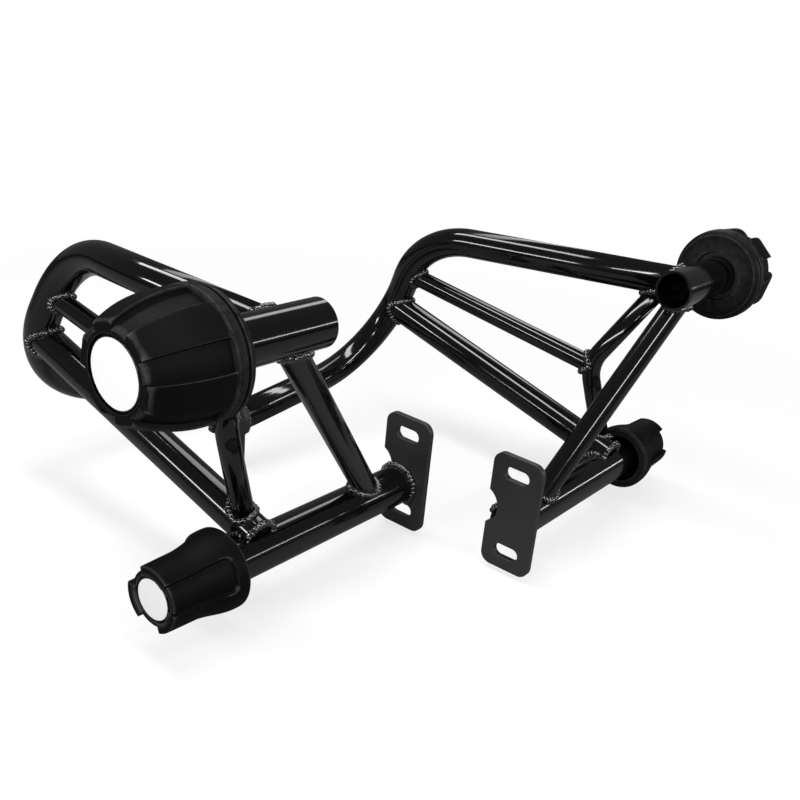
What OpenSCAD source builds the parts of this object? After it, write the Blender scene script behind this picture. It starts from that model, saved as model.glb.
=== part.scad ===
// Pair of motorcycle crash bars: welded tube frames with moulded sliders, standing on the floor.
// Each bar is drawn once in its own frame. X runs outward along its two stubs, Y forward and Z up,
// and the origin is on the lower stub's axis at the mount plate's inner face.
// All sizes are in millimetres.

/* [Pair] */
// Gap between the inner faces of the two mount plates
pair_gap = 2; // [0:1:200]
// How far the right bar stands behind the left bar
pair_shift = 100; // [80:1:200]

/* [Tubes] */
// Outer diameter of the two stubs
stub_d = 31.8; // [28:0.1:36]
// Wall of the two stubs
stub_wall = 2; // [1.5:0.1:3]
// Outer diameter of the main hoop
hoop_d = 25.4; // [22:0.1:28]
// Wall of the main hoop
hoop_wall = 2; // [1.2:0.1:3]
// Outer diameter of the lower rail
lower_rail_d = 25.4; // [22:0.1:26]
// Wall of the lower rail
lower_rail_wall = 2; // [1.2:0.1:3]
// Outer diameter of the upper rail
upper_rail_d = 15.9; // [12:0.1:19]
// Outer diameter of the bent post
post_d = 15.9; // [12:0.1:19]
// Outer diameter of the brace
brace_d = 19.1; // [16:0.1:24]
// Wall of the upper rail, the post and the brace
thin_wall = 1.6; // [1:0.1:2.5]

/* [Lower stub] */
// Distance from the mounting face to the lower stub's outer end
lower_out = 222; // [205:1:260]

/* [Upper stub] */
// Height of the upper stub above the lower stub
upper_z = 174; // [160:1:190]
// How far the upper stub lies behind the lower stub
upper_back = 36; // [20:1:50]
// Distance from the mounting face to the upper stub's outer end
upper_out = 268; // [255:1:300]
// Length of the upper stub, from its open inner end to its outer end
upper_stub_l = 122; // [110:1:140]

/* [Main hoop] */
// Distance of the hoop's root back from the upper stub's outer end
hoop_root_set = 87; // [84:1:92]
// Corner of the hoop's top bend, outward
top_bend_x = 144; // [130:1:160]
// Corner of the hoop's top bend, forward
top_bend_y = 215; // [200:1:240]
// Corner of the hoop's top bend, height over the lower stub
top_bend_z = 160; // [145:1:175]
// Radius of the top bend on the tube's axis
top_bend_r = 78; // [50:1:85]
// Corner of the hoop's low bend, outward
low_bend_x = 167; // [150:1:180]
// Corner of the hoop's low bend, forward
low_bend_y = 274; // [255:1:285]
// Corner of the hoop's low bend, height over the lower stub
low_bend_z = 24; // [15:1:35]
// Radius of the low bend on the tube's axis
low_bend_r = 84; // [60:1:88]
// How far the hoop's foot reaches inward past the mounting face
foot_reach = 26; // [10:1:40]
// Forward place of the hoop's foot
foot_y = 267; // [255:1:280]
// Height of the hoop's foot over the lower stub
foot_z = 5; // [0:1:15]

/* [Rails, post and brace] */
// Distance of the upper rail's end below the top bend's corner, along the hoop
upper_rail_drop = 46; // [40:1:60]
// Distance of the lower rail's end below the top bend's corner, along the hoop
lower_rail_drop = 84; // [75:1:95]
// Distance of the lower rail's end back from the lower stub's outer end
lower_rail_set = 64; // [60:1:90]
// Height of the lower rail's end over the lower stub's axis
lower_rail_rise = 14; // [11:1:18]
// Distance of the post's top from the upper stub's axis, along the hoop
post_top_reach = 20; // [17:1:30]
// Corner of the post's bend, outward
post_bend_x = 159; // [150:1:170]
// Corner of the post's bend, forward
post_bend_y = 32; // [24:1:40]
// Corner of the post's bend, height over the lower stub
post_bend_z = 88; // [75:1:100]
// Radius of the post's bend on the tube's axis
post_bend_r = 32; // [20:1:50]
// Distance of the post's foot back from the lower stub's outer end
post_foot_set = 61; // [58:1:68]
// Distance of the brace's top end back from the upper stub's outer end
brace_top_set = 90; // [84:1:96]
// Brace's bottom end, outward
brace_foot_x = 38; // [30:1:60]

/* [Mount plate] */
// Thickness of the mount plate
plate_t = 5; // [3:0.5:8]
// Width of the mount plate
plate_w = 44; // [40:1:56]
// Height of the mount plate
plate_h = 96; // [90:1:110]
// How far the plate's bottom edge lies below the lower stub's axis
plate_below = 36; // [33:1:40]
// How far the plate's middle lies behind the lower stub's axis
plate_back = 5; // [0:1:8]
// Radius of the plate's corners
plate_corner_r = 9; // [3:1:12]
// Width of the bolt slots
slot_w = 10.5; // [8:0.5:12]
// Length of the bolt slots from end to end
slot_l = 22; // [14:1:26]
// Distance between the middles of the two slots
slot_gap = 66; // [56:1:72]
// Height of the lower slot's middle over the plate's bottom edge
slot_rise = 15.5; // [14:0.5:20]
// Radius of the round notch in the front edge
notch_r = 15.5; // [10:0.5:18]
// Depth of the notch
notch_depth = 9; // [5:0.5:12]
// Height of the notch's middle over the plate's bottom edge
notch_rise = 48.5; // [42:0.5:56]

/* [Front bracket] */
// Thickness of the front bracket
bracket_t = 5; // [3:0.5:8]
// Diameter of the bracket's round head
bracket_d = 33; // [28:1:40]
// Width of the bracket's tab
tab_w = 21; // [14:1:26]
// How far the tab reaches below the hoop's foot
tab_drop = 45; // [35:1:45]
// Diameter of the bracket's bolt hole
bracket_hole_d = 8.4; // [6:0.1:11]

/* [Upper slider] */
// Length of the upper slider
upper_slider_l = 62; // [54:1:70]
// Diameter over the upper slider's rear flange
upper_slider_d = 77; // [70:1:86]
// Diameter over the pads at the front face
upper_front_d = 53; // [50:1:62]
// Diameter over the pads next to the flange
upper_pad_d = 75; // [68:1:82]
// Number of raised pads
pad_count = 6; // [5:1:8]
// Angle that each pad spans
pad_angle = 33; // [20:1:40]
// Depth of the channels between the pads
channel_depth = 2.8; // [1.5:0.1:4]
// Width of the plain ring behind the pads
flange_w = 15; // [12:1:20]
// Wall of the rubber bushing around the stub
bushing_wall = 5; // [3:0.5:7]
// How deep the bushing sits inside the rear face
bushing_inset = 4; // [1:0.5:8]
// Diameter of the upper badge
upper_badge_d = 39.2; // [34:0.2:42]

/* [Lower slider] */
// Length of the lower slider
lower_slider_l = 58; // [54:1:70]
// Diameter of the lower slider's rear rim
lower_rim_d = 57.5; // [52:0.5:64]
// Diameter at the lower slider's front face
lower_front_d = 45.5; // [43:0.5:50]
// Angle that each pocket between the three lobes spans
pocket_angle = 54; // [30:1:70]
// Depth of the pockets
pocket_depth = 3; // [1.5:0.1:4]
// Length of the pockets
pocket_l = 47; // [35:1:50]
// How far the pockets' front lies behind the lobes
pocket_setback = 2; // [1:0.5:3]
// Diameter of the recess in the rear face
lower_recess_d = 43; // [38:0.5:48]
// Depth of the recess in the rear face
lower_recess_l = 12; // [6:1:16]
// Diameter of the lower badge
lower_badge_d = 29.8; // [24:0.2:32]

/* [Slider fasteners] */
// Thickness of the badges
badge_t = 1.4; // [1:0.1:2]
// Distance from the upper slider's front face to its badge seat
upper_badge_depth = 2; // [1.5:0.1:4]
// Distance from the lower slider's front face to its badge seat
lower_badge_depth = 3; // [2.5:0.1:5]
// Gap around each badge in its seat
badge_gap = 1.2; // [0.2:0.1:2]
// Nominal diameter of the upper slider's bolt
upper_bolt_d = 10; // [8:1:12]
// Nominal diameter of the lower slider's bolt
lower_bolt_d = 8; // [6:1:10]
// Thickness of the threaded plugs in the stubs' ends
plug_l = 12; // [8:1:16]
// Thickness of the washers under the bolt heads
washer_t = 2; // [1:0.5:3]
// Thickness of the slider's web between the stub's end and the washer
web_t = 9; // [6:0.5:12]

/* [Hidden] */
$fn = 96;

paint = [0.06, 0.06, 0.065];
plate_paint = [0.16, 0.16, 0.16];
nylon = [0.11, 0.11, 0.11];
rubber = [0.05, 0.05, 0.05];
white = [0.95, 0.95, 0.94];
zinc = [0.62, 0.63, 0.65];

// Cutters reach this far past what they cut
past = 1;
// Straight stretches run this far into a bend, which is fuller than they are by the swell
lap = 0.5;
bend_swell = 0.15;
// Clearance of a bolt in its hole, on the diameter
bolt_clearance = 0.5;

stub_r = stub_d / 2;
hoop_r = hoop_d / 2;
lower_rail_r = lower_rail_d / 2;

// Points on the tubes' axes
upper_in = upper_out - upper_stub_l;
upper_root = [upper_out - hoop_root_set, -upper_back, upper_z];
top_corner = [top_bend_x, top_bend_y, top_bend_z];
low_corner = [low_bend_x, low_bend_y, low_bend_z];
foot = [-foot_reach, foot_y, foot_z];
post_corner = [post_bend_x, post_bend_y, post_bend_z];
brace_top = [upper_out - brace_top_set, -upper_back, upper_z];
brace_foot = [brace_foot_x, 0, 0];

// Sliders along their axes
upper_front = upper_out + web_t + washer_t + upper_bolt_d + upper_badge_depth;
upper_rear = upper_front - upper_slider_l;
lower_front = lower_out + web_t + washer_t + lower_bolt_d + lower_badge_depth;
lower_rear = lower_front - lower_slider_l;

function unit(v) = v / norm(v);
function lerp(a, b, t) = a + (b - a) * t;
// Distance from a corner to where its bend meets the straight tubes
function setback(a, p, b, r) =
    r / tan(acos(unit(a - p) * unit(b - p)) / 2);

// Point of the hoop's axis between its two bends, at a distance along the straight line of their corners
leg = unit(low_corner - top_corner);
leg_l = norm(low_corner - top_corner);
top_setback = setback(upper_root, top_corner, low_corner, top_bend_r);
low_setback = setback(top_corner, low_corner, foot, low_bend_r);
top_inside = unit(cross(cross(leg, upper_root - top_corner), leg));
low_inside = unit(cross(cross(leg, foot - low_corner), leg));
function bulge(t, r) = t <= 0 ? 0 : r - sqrt(r * r - t * t);
function hoop_point(s) =
    top_corner + leg * s
    + top_inside * bulge(top_setback - s, top_bend_r)
    + low_inside * bulge(s - leg_l + low_setback, low_bend_r);

upper_rail_start = hoop_point(upper_rail_drop);
lower_rail_aim = [lower_out - lower_rail_set, 0, lower_rail_rise];
// The lower rail is as wide as the hoop, so its coped end starts a little off the hoop's axis
lower_rail_root = hoop_point(lower_rail_drop);
lower_rail_start = lower_rail_root + unit(lower_rail_aim - lower_rail_root) * 3;
// The lower rail runs on over the lower stub's top
lower_rail_end = lower_rail_aim + unit(lower_rail_aim - lower_rail_start) * 3;
post_top = upper_root + unit(top_corner - upper_root) * post_top_reach;
post_foot = lerp([lower_out - post_foot_set, 0, 0], post_corner, lower_rail_rise / post_bend_z);

// The pair's origin is below the middle of its bounding box, on the floor
tail = unit(foot - low_corner);
low_half = acos(-leg * tail) / 2;
low_centre = low_corner + unit(tail - leg) * low_bend_r / sin(low_half);
low_axis = unit(cross(leg, tail));
front_reach = low_centre.y + low_bend_r * sqrt(1 - low_axis.y * low_axis.y) + hoop_r + bend_swell;
rear_reach = upper_back + upper_pad_d / 2 / cos(pad_angle / 2) + pair_shift;
pair_middle_y = (front_reach - rear_reach) / 2;
floor_drop = tab_drop - foot_z;

// Places

module left() {
    translate([-pair_gap / 2, -pair_middle_y, floor_drop]) mirror([1, 0, 0]) children();
}

module right() {
    translate([pair_gap / 2, -pair_middle_y - pair_shift, floor_drop]) children();
}

// Tube shapes

// Round bar from one point to another
module bar(a, b, r) {
    d = b - a;
    translate(a)
        rotate([0, acos(d.z / norm(d)), atan2(d.y, d.x)])
            cylinder(h = norm(d), r = r);
}

// Round bend of a bar at corner p, between the bars that come from a and go to b
module bend(a, p, b, bend_r, r) {
    ua = unit(a - p);
    ub = unit(b - p);
    half = acos(ua * ub) / 2;
    centre = p + unit(ua + ub) * bend_r / sin(half);
    x = unit(p + ua * bend_r / tan(half) - centre);
    z = unit(cross(x, -ua));
    y = cross(z, x);
    multmatrix([
        [x.x, y.x, z.x, centre.x],
        [x.y, y.y, z.y, centre.y],
        [x.z, y.z, z.z, centre.z],
        [0, 0, 0, 1]
    ])
        rotate_extrude(angle = 180 - 2 * half) translate([bend_r, 0]) circle(r = r + bend_swell);
}

// Straight stretch of a bent bar, from a towards the bend at corner p
module run_up(a, p, b, bend_r, r) {
    bar(a, p + unit(a - p) * (setback(a, p, b, bend_r) - lap), r);
}

module post_bar(r) {
    run_up(post_top, post_corner, post_foot, post_bend_r, r);
    bend(post_top, post_corner, post_foot, post_bend_r, r);
    run_up(post_foot, post_corner, post_top, post_bend_r, r);
}

module hoop_bar(r, extra = 0) {
    run_up(upper_root, top_corner, low_corner, top_bend_r, r);
    bend(upper_root, top_corner, low_corner, top_bend_r, r);
    bar(top_corner + leg * (top_setback - lap), low_corner - leg * (low_setback - lap), r);
    bend(top_corner, low_corner, foot, low_bend_r, r);
    run_up(foot + tail * extra, low_corner, top_corner, low_bend_r, r);
}

// Round bar along X
module x_bar(from, to, d) {
    translate([from, 0, 0]) rotate([0, 90, 0]) cylinder(h = to - from, d = d);
}

module at_upper_stub() {
    translate([0, -upper_back, upper_z]) children();
}

module lower_stub_bar() {
    x_bar(0, lower_out, stub_d);
}

module upper_stub_bar() {
    at_upper_stub() x_bar(upper_in, upper_out, stub_d);
}

// Flat shapes

module rounded_rect(w, h, r) {
    square([w - 2 * r, h], center = true);
    square([w, h - 2 * r], center = true);
    for (x = [-1, 1], y = [-1, 1])
        translate([x * (w / 2 - r), y * (h / 2 - r)]) circle(r = r);
}

module slot(l, w) {
    square([l - w, w], center = true);
    for (x = [-1, 1]) translate([x * (l - w) / 2, 0]) circle(d = w);
}

// Stands a flat shape across X: its width along Y and its height along Z
module across_x(from, t) {
    translate([from, 0, 0]) rotate([90, 0, 90]) linear_extrude(height = t) children();
}

// Turns a profile of radius and place along the axis about X
module about_x(profile) {
    rotate([90, 0, 90]) rotate_extrude() polygon(profile);
}

// Welded frame

module mount_plate() {
    color(plate_paint)
        across_x(0, plate_t)
            translate([-plate_back, -plate_below])
                difference() {
                    translate([0, plate_h / 2]) rounded_rect(plate_w, plate_h, plate_corner_r);
                    for (z = [slot_rise, slot_rise + slot_gap]) translate([0, z]) slot(slot_l, slot_w);
                    translate([plate_w / 2 + notch_r - notch_depth, notch_rise]) circle(r = notch_r);
                }
}

module lower_stub() {
    color(paint)
        difference() {
            x_bar(plate_t, lower_out, stub_d);
            x_bar(plate_t - past, lower_out + past, stub_d - 2 * stub_wall);
        }
}

module upper_stub() {
    color(paint)
        at_upper_stub()
            difference() {
                x_bar(upper_in, upper_out, stub_d);
                x_bar(upper_in - past, upper_out + past, stub_d - 2 * stub_wall);
            }
}

module main_hoop() {
    color(paint)
        difference() {
            hoop_bar(hoop_r, hoop_d);
            hoop_bar(hoop_r - hoop_wall, hoop_d + past);
            upper_stub_bar();
            // The foot is cut square against the bracket
            translate([-foot_reach - 3 * hoop_d, foot_y - hoop_d, foot_z - hoop_d])
                cube([3 * hoop_d, 2 * hoop_d, 2 * hoop_d]);
        }
}

module lower_rail() {
    // The end that laps the stub is welded shut
    shut = unit(lower_rail_start - lower_rail_end) * lower_rail_wall;
    color(paint)
        difference() {
            bar(lower_rail_start, lower_rail_end, lower_rail_r);
            bar(lower_rail_start - shut, lower_rail_end + shut, lower_rail_r - lower_rail_wall);
            hoop_bar(hoop_r);
            lower_stub_bar();
        }
}

module upper_rail() {
    color(paint)
        difference() {
            bar(upper_rail_start, post_corner, upper_rail_d / 2);
            bar(upper_rail_start, post_corner, upper_rail_d / 2 - thin_wall);
            hoop_bar(hoop_r);
            post_bar(post_d / 2);
        }
}

module post() {
    color(paint)
        difference() {
            post_bar(post_d / 2);
            post_bar(post_d / 2 - thin_wall);
            hoop_bar(hoop_r);
            upper_stub_bar();
            lower_stub_bar();
            bar(lower_rail_start, lower_rail_end, lower_rail_r);
        }
}

module brace() {
    color(paint)
        difference() {
            bar(brace_top, brace_foot, brace_d / 2);
            bar(brace_top, brace_foot, brace_d / 2 - thin_wall);
            upper_stub_bar();
            lower_stub_bar();
            hoop_bar(hoop_r);
        }
}

module front_bracket() {
    tab_r = 5;
    color(plate_paint)
        across_x(-foot_reach - bracket_t, bracket_t)
            translate([foot_y, foot_z])
                difference() {
                    union() {
                        circle(d = bracket_d);
                        translate([-tab_w / 2, -tab_drop + tab_r]) square([tab_w, tab_drop - tab_r]);
                        translate([-tab_w / 2 + tab_r, -tab_drop]) square([tab_w - 2 * tab_r, tab_r]);
                        for (y = [-1, 1]) translate([y * (tab_w / 2 - tab_r), -tab_drop + tab_r]) circle(r = tab_r);
                    }
                    circle(d = bracket_hole_d);
                }
}

// Sliders

// Barrel curve of the upper slider: full at the flange and drawn in at the front
barrel_power = 2.4;
barrel_steps = 10;
pads_rear = upper_rear + flange_w;
function barrel(x, rear_r, front_r) =
    rear_r - (rear_r - front_r) * pow((x - pads_rear) / (upper_front - pads_rear), barrel_power);
function barrel_curve(rear_r, front_r) = [
    for (i = [0:barrel_steps])
        let (x = lerp(pads_rear, upper_front, i / barrel_steps)) [barrel(x, rear_r, front_r), x]
];

// Rear flange with its edge bevel and the groove between its two rings
groove_depth = 1.5;
flange_profile = [
    [0, upper_rear],
    [upper_slider_d / 2 - 4, upper_rear],
    [upper_slider_d / 2 - 0.8, upper_rear + 3],
    [upper_slider_d / 2 - 0.2, upper_rear + 6],
    [upper_slider_d / 2 - groove_depth, upper_rear + 6.5],
    [upper_slider_d / 2 - groove_depth, upper_rear + 8],
    [upper_slider_d / 2, upper_rear + 8.5],
    [upper_slider_d / 2, pads_rear - 1],
    [upper_slider_d / 2 - 1, pads_rear],
    [0, pads_rear]
];

module upper_pad(turn) {
    reach = upper_slider_d;
    side = barrel_curve(upper_pad_d / 2, upper_front_d / 2);
    rotate([turn, 0, 0])
        intersection() {
            rotate([0, 0, 0])
                translate([0, 0, -reach / 2])
                    linear_extrude(height = reach)
                        polygon(concat([[upper_front, 0], [pads_rear, 0]], [for (p = side) [p.y, p.x]]));
            across_x(pads_rear - past, upper_front - pads_rear + 2 * past)
                polygon([
                    [0, 0],
                    [reach, -reach * tan(pad_angle / 2)],
                    [reach, reach * tan(pad_angle / 2)]
                ]);
        }
}

module upper_slider() {
    seat = upper_front - upper_badge_depth;
    head_seat = upper_out + web_t;
    first_pad = 12;
    color(nylon)
        at_upper_stub()
            difference() {
                union() {
                    about_x(flange_profile);
                    about_x(concat(
                        [[0, upper_front], [0, pads_rear - past]],
                        [[upper_pad_d / 2 - channel_depth, pads_rear - past]],
                        barrel_curve(upper_pad_d / 2 - channel_depth, upper_front_d / 2 - channel_depth)
                    ));
                    for (i = [0:pad_count - 1]) upper_pad(first_pad + i * 360 / pad_count);
                }
                x_bar(upper_rear - past, upper_out, stub_d + 2 * bushing_wall);
                x_bar(upper_out - past, head_seat + past, upper_bolt_d + bolt_clearance);
                x_bar(head_seat, seat + past, upper_bolt_d * 2.2);
                x_bar(seat, upper_front + past, upper_badge_d + 2 * badge_gap);
            }
}

module upper_bushing() {
    color(rubber)
        at_upper_stub()
            difference() {
                x_bar(upper_rear + bushing_inset, upper_out, stub_d + 2 * bushing_wall);
                x_bar(upper_rear, upper_out + past, stub_d);
            }
}

// Flare of the lower slider: slim in front and swelling to the rear rim
flare_steps = 12;
flare_rear = lower_rear + 7;
flare_front = lower_front - 22;
function flare(x) =
    let (t = min(1, max(0, (flare_front - x) / (flare_front - flare_rear))))
    lower_front_d / 2 + (lower_front - x) * 0.035
    + (lower_rim_d / 2 - lower_front_d / 2 - (lower_front - flare_rear) * 0.035) * t * t * (3 - 2 * t);
function flare_curve(inset, from, to) = [
    for (i = [0:flare_steps]) let (x = lerp(from, to, i / flare_steps)) [flare(x) - inset, x]
];

module lower_slider() {
    seat = lower_front - lower_badge_depth;
    head_seat = lower_out + web_t;
    pocket_front = lower_front - pocket_setback;
    pocket_rear = lower_front - pocket_l;
    first_pocket = 37 - pocket_angle / 2;
    rim = lower_rim_d / 2;
    color(nylon)
        difference() {
            about_x(concat(
                [[0, lower_front], [0, lower_rear], [rim - 2, lower_rear], [rim, lower_rear + 2]],
                flare_curve(0, flare_rear, lower_front - 1),
                [[lower_front_d / 2 - 1, lower_front]]
            ));
            // Pockets between the lobes, open to the front
            for (i = [0:2])
                rotate([first_pocket + i * 120, 0, 0])
                    rotate([90, 0, 90])
                        rotate_extrude(angle = pocket_angle)
                            polygon(concat(
                                [[rim + past, pocket_rear]],
                                flare_curve(pocket_depth, pocket_rear, pocket_front),
                                [
                                    [lower_badge_d / 2, pocket_front],
                                    [lower_badge_d / 2, lower_front + past],
                                    [rim + past, lower_front + past]
                                ]
                            ));
            x_bar(lower_rear - past, lower_rear + lower_recess_l, lower_recess_d);
            x_bar(lower_rear, lower_rear + lower_recess_l + 5, stub_d + 5);
            x_bar(lower_rear, lower_out, stub_d);
            x_bar(lower_out - past, head_seat + past, lower_bolt_d + bolt_clearance);
            x_bar(head_seat, seat + past, lower_bolt_d * 2.2);
            x_bar(seat, lower_front + past, lower_badge_d + 2 * badge_gap);
        }
}

// Badges, bolts, washers and plugs

module upper_badge() {
    seat = upper_front - upper_badge_depth;
    color(white) at_upper_stub() x_bar(seat, seat + badge_t, upper_badge_d);
}

module lower_badge() {
    seat = lower_front - lower_badge_depth;
    color(white) x_bar(seat, seat + badge_t, lower_badge_d);
}

// Socket head bolt whose head sits on a plane across X and points outward
module bolt(head_seat, d, reach) {
    head_d = 1.6 * d;
    head_h = 0.8 * d;
    socket_d = 0.92 * d;
    color(zinc)
        difference() {
            union() {
                x_bar(head_seat - reach, head_seat, d);
                x_bar(head_seat, head_seat + head_h, head_d);
            }
            translate([head_seat + head_h / 2, 0, 0])
                rotate([0, 90, 0]) cylinder(h = head_h, d = socket_d, $fn = 6);
        }
}

module washer(head_seat, d) {
    color(zinc)
        difference() {
            x_bar(head_seat, head_seat + washer_t, 2.1 * d);
            x_bar(head_seat - past, head_seat + washer_t + past, d + bolt_clearance);
        }
}

// Threaded plug welded into a stub's outer end
module plug(end, d) {
    color(zinc)
        difference() {
            x_bar(end - plug_l, end, stub_d - 2 * stub_wall);
            x_bar(end - plug_l - past, end + past, d);
        }
}

module upper_bolt() {
    at_upper_stub() bolt(upper_out + web_t + washer_t, upper_bolt_d, web_t + washer_t + plug_l);
}

module upper_washer() {
    at_upper_stub() washer(upper_out + web_t, upper_bolt_d);
}

module upper_plug() {
    at_upper_stub() plug(upper_out, upper_bolt_d);
}

module lower_bolt() {
    bolt(lower_out + web_t + washer_t, lower_bolt_d, web_t + washer_t + plug_l);
}

module lower_washer() {
    washer(lower_out + web_t, lower_bolt_d);
}

module lower_plug() {
    plug(lower_out, lower_bolt_d);
}

left() mount_plate();  // left_mount_plate
left() lower_stub();  // left_lower_stub
left() upper_stub();  // left_upper_stub
left() main_hoop();  // left_main_hoop
left() lower_rail();  // left_lower_rail
left() upper_rail();  // left_upper_rail
left() post();  // left_post
left() brace();  // left_brace
left() front_bracket();  // left_front_bracket
left() upper_slider();  // left_upper_slider
left() upper_bushing();  // left_upper_bushing
left() upper_badge();  // left_upper_badge
left() upper_bolt();  // left_upper_bolt
left() upper_washer();  // left_upper_washer
left() upper_plug();  // left_upper_plug
left() lower_slider();  // left_lower_slider
left() lower_badge();  // left_lower_badge
left() lower_bolt();  // left_lower_bolt
left() lower_washer();  // left_lower_washer
left() lower_plug();  // left_lower_plug
right() mount_plate();  // right_mount_plate
right() lower_stub();  // right_lower_stub
right() upper_stub();  // right_upper_stub
right() main_hoop();  // right_main_hoop
right() lower_rail();  // right_lower_rail
right() upper_rail();  // right_upper_rail
right() post();  // right_post
right() brace();  // right_brace
right() front_bracket();  // right_front_bracket
right() upper_slider();  // right_upper_slider
right() upper_bushing();  // right_upper_bushing
right() upper_badge();  // right_upper_badge
right() upper_bolt();  // right_upper_bolt
right() upper_washer();  // right_upper_washer
right() upper_plug();  // right_upper_plug
right() lower_slider();  // right_lower_slider
right() lower_badge();  // right_lower_badge
right() lower_bolt();  // right_lower_bolt
right() lower_washer();  // right_lower_washer
right() lower_plug();  // right_lower_plug
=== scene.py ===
"""Looks for a pair of motorcycle crash bars.

Sizes are in millimetres in each bar's own frame, as in the part's source: u runs outward along the
stubs, y forward and z up, from the lower stub's axis at the mount plate's inner face. Lights,
settings and finished meshes are in metres, in the pair's frame.
"""

import math

import bmesh
import bpy
import numpy as np
from mathutils import Matrix


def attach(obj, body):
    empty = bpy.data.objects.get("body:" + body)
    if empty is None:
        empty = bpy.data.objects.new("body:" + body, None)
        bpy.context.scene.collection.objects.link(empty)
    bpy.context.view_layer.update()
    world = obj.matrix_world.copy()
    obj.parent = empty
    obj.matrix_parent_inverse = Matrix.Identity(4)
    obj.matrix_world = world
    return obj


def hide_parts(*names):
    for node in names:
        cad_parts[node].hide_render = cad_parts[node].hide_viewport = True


bl_info = {
    "name": "Motorcycle crash bars",
    "version": (1, 0, 0),
    "blender": (4, 5, 0),
    "location": "View3D > Sidebar > Crash bars",
    "description": "Builds the tubes, welds, plates, sliders and badges of a pair of crash bars",
    "category": "Object",
}

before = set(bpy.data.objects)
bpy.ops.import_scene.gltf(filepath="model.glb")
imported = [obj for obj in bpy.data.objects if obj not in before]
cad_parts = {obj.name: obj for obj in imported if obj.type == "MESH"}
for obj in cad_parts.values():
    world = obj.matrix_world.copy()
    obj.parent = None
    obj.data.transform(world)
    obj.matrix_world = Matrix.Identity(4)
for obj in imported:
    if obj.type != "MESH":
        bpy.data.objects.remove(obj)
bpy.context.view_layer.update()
SIDES = ("left", "right")

# The pair's arrangement
PAIR_GAP = 2.0
PAIR_SHIFT = 100.0
PAIR_MIDDLE = 54.3013
FLOOR_DROP = 40.0

# The frame of one bar
STUB_R = 15.9
HOOP_R = 12.7
UPPER_STUB = np.array([0.0, -36.0, 174.0])
UPPER_CENTRE, LOWER_CENTRE = UPPER_STUB[1:], (0.0, 0.0)
UPPER_IN, UPPER_OUT = 146.0, 268.0
LOWER_OUT = 222.0
HOOP_ROOT = np.array([181.0, -36.0, 174.0])
TOP_CORNER = np.array([144.0, 215.0, 160.0])
LOW_CORNER = np.array([167.0, 274.0, 24.0])
FOOT = np.array([-26.0, 267.0, 5.0])
TOP_BEND_R, LOW_BEND_R = 78.0, 84.0
POST_CORNER = np.array([159.0, 32.0, 88.0])
POST_BEND_R, POST_R = 32.0, 7.95
POST_FOOT = np.array([161.0, 0.0, 0.0])
POST_ALONG = 20.0
RAIL_R, UPPER_RAIL_R, BRACE_R = 12.7, 7.95, 9.55
RAIL_AIM = np.array([158.0, 0.0, 14.0])
RAIL_DROP, UPPER_RAIL_DROP = 84.0, 46.0
RAIL_LAP = 3.0
BRACE_TOP = np.array([178.0, -36.0, 174.0])
BRACE_FOOT = np.array([38.0, 0.0, 0.0])
PLATE_T = 5.0

# Steps along the bends, and faces round the swept tubes
HOOP_STEP, POST_STEP = 2.0, 1.0
HOOP_SIDES, POST_SIDES = 64, 48

# Seams are looked for from SEAM_OUT to SEAM_IN, then by halving
SEAM_POINTS, SEAM_STEPS, SEAM_HALVINGS = 72, 181, 16
SEAM_OUT, SEAM_IN = 60.0, -30.0

# How far the beads' lines stand off the tube that ends and off its mates
SEAM_OFF, MATE_OFF = 0.5, 1.0
LAP_OFF, LAP_MATE_OFF = 0.4, 0.6
RIM_IN, RIM_SUNK = 0.6, 1.0
PLATE_OFF, PLATE_RING_POINTS = 0.6, 60
# The stub's bead on the plate stops short of the notch and of the lower slot
PLATE_BEAD_FROM, PLATE_BEAD_TO = 24, 227

# Ripples: their height, the bead's core and the range of their sizes, as shares
RIPPLE_FLAT, BEAD_CORE = 0.66, 0.72
RIPPLE_MIN, RIPPLE_MAX = (0.8, 0.8, 0.85), (1.12, 1.12, 1.2)
RIPPLE_SEED, RIPPLE_DETAIL, CORE_SIDES = 7, 2, 12

# Swept tubes' ends, in metres: where their mates are looked for, and how deep they sink in
REACH_OUT, REACH_IN, REACH_STEPS = 0.05, -0.02, 281
TUBE_SINK = 0.0006


def unit(v):
    return v / np.linalg.norm(v)


def place(side, points):
    """Points of one bar's frame, in mm, to the pair's frame, in metres."""
    p = np.array(points, float).reshape(-1, 3)
    if side == "left":
        p[:, 0] = -PAIR_GAP / 2 - p[:, 0]
        p[:, 1] -= PAIR_MIDDLE
    else:
        p[:, 0] = PAIR_GAP / 2 + p[:, 0]
        p[:, 1] -= PAIR_MIDDLE + PAIR_SHIFT
    p[:, 2] += FLOOR_DROP
    return p / 1000


# Paths of the tubes


def corner_arc(a, p, b, r, step):
    """Points along the bend of radius r at corner p, between the lines from a and to b."""
    ua, ub = unit(a - p), unit(b - p)
    half = math.acos(np.clip(ua @ ub, -1, 1)) / 2
    centre = p + unit(ua + ub) * r / math.sin(half)
    start = p + ua * r / math.tan(half)
    x = unit(start - centre)
    y = -ua
    turn = math.pi - 2 * half
    n = max(6, int(r * turn / step))
    return [centre + r * (x * math.cos(t) + y * math.sin(t)) for t in np.linspace(0, turn, n)]


HOOP = np.array(
    [HOOP_ROOT]
    + corner_arc(HOOP_ROOT, TOP_CORNER, LOW_CORNER, TOP_BEND_R, HOOP_STEP)
    + corner_arc(TOP_CORNER, LOW_CORNER, FOOT, LOW_BEND_R, HOOP_STEP)
    + [FOOT]
)
LEG = unit(LOW_CORNER - TOP_CORNER)
LEG_L = np.linalg.norm(LOW_CORNER - TOP_CORNER)


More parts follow.
